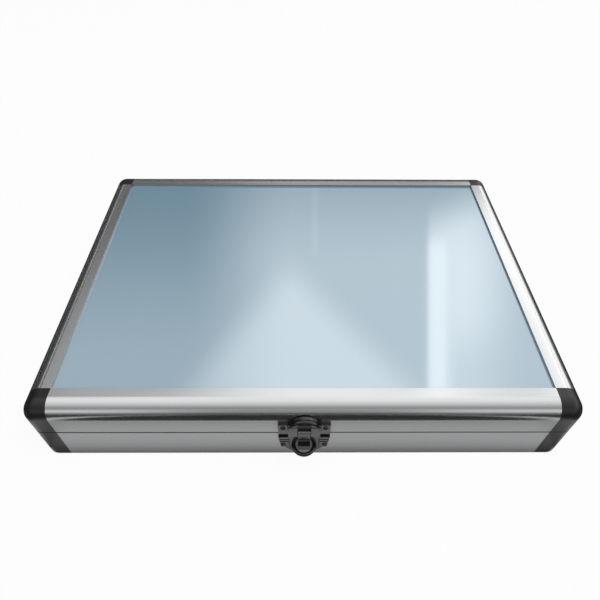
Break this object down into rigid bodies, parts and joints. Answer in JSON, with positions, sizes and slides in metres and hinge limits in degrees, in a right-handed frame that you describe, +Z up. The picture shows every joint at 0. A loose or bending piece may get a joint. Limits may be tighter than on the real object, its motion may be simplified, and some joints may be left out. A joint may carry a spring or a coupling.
{
  "type": "slim hard case",
  "caption": "Slim aluminium-framed document case with a glossy panel lid, black corners, rear hinges and a front latch with a padlock loop.",
  "frame": {"origin": "centre of the case's underside, on the surface that it lies on", "axes": "+Z up, +X to the right along the long side, -Y towards the front with the latch"},
  "size_m": [0.312, 0.242, 0.0503],
  "materials": {
    "frame_aluminium": "satin anodised, brushed along the rail",
    "corner_plastic": "black, semi-gloss",
    "lid_panel": "pale blue-grey, glossy",
    "bottom_panel": "grey, satin",
    "foam": "dark grey lining foam",
    "hinge_steel": "zinc plated",
    "rivet": "zinc plated",
    "latch_metal": "blackened",
    "latch_plastic": "black, semi-gloss"
  },
  "bodies": {
    "base": {"base_front_rail": "frame_aluminium", "base_back_rail": "frame_aluminium", "base_left_rail": "frame_aluminium", "base_right_rail": "frame_aluminium", "base_corner_front_left": "corner_plastic", "base_corner_front_right": "corner_plastic", "base_corner_back_left": "corner_plastic", "base_corner_back_right": "corner_plastic", "bottom_panel": "bottom_panel", "base_foam": "foam", "hinge_left_base_leaf": "hinge_steel", "hinge_right_base_leaf": "hinge_steel", "hinge_left_pin": "hinge_steel", "hinge_right_pin": "hinge_steel", "hinge_base_rivets": "rivet", "latch_base_plate": "latch_plastic", "latch_base_rivets": "latch_metal"},
    "lid": {"lid_front_rail": "frame_aluminium", "lid_back_rail": "frame_aluminium", "lid_left_rail": "frame_aluminium", "lid_right_rail": "frame_aluminium", "lid_corner_front_left": "corner_plastic", "lid_corner_front_right": "corner_plastic", "lid_corner_back_left": "corner_plastic", "lid_corner_back_right": "corner_plastic", "lid_panel": "lid_panel", "lid_foam": "foam", "hinge_left_lid_leaf": "hinge_steel", "hinge_right_lid_leaf": "hinge_steel", "hinge_lid_rivets": "rivet", "latch_lid_plate": "latch_plastic", "latch_pin": "latch_metal", "latch_lid_rivets": "latch_metal"},
    "tongue": {"latch_tongue": "latch_plastic"}
  },
  "joints": [
    {"name": "lid_hinge", "type": "hinge", "parent": "base", "child": "lid", "pos_m": [0, 0.1166, 0.0275], "axis": [-1, 0, 0], "range_deg": [0, 180]},
    {"name": "tongue_hinge", "type": "hinge", "parent": "lid", "child": "tongue", "pos_m": [0, -0.11635, 0.03935], "axis": [-1, 0, 0], "range_deg": [0, 100]}
  ]
}
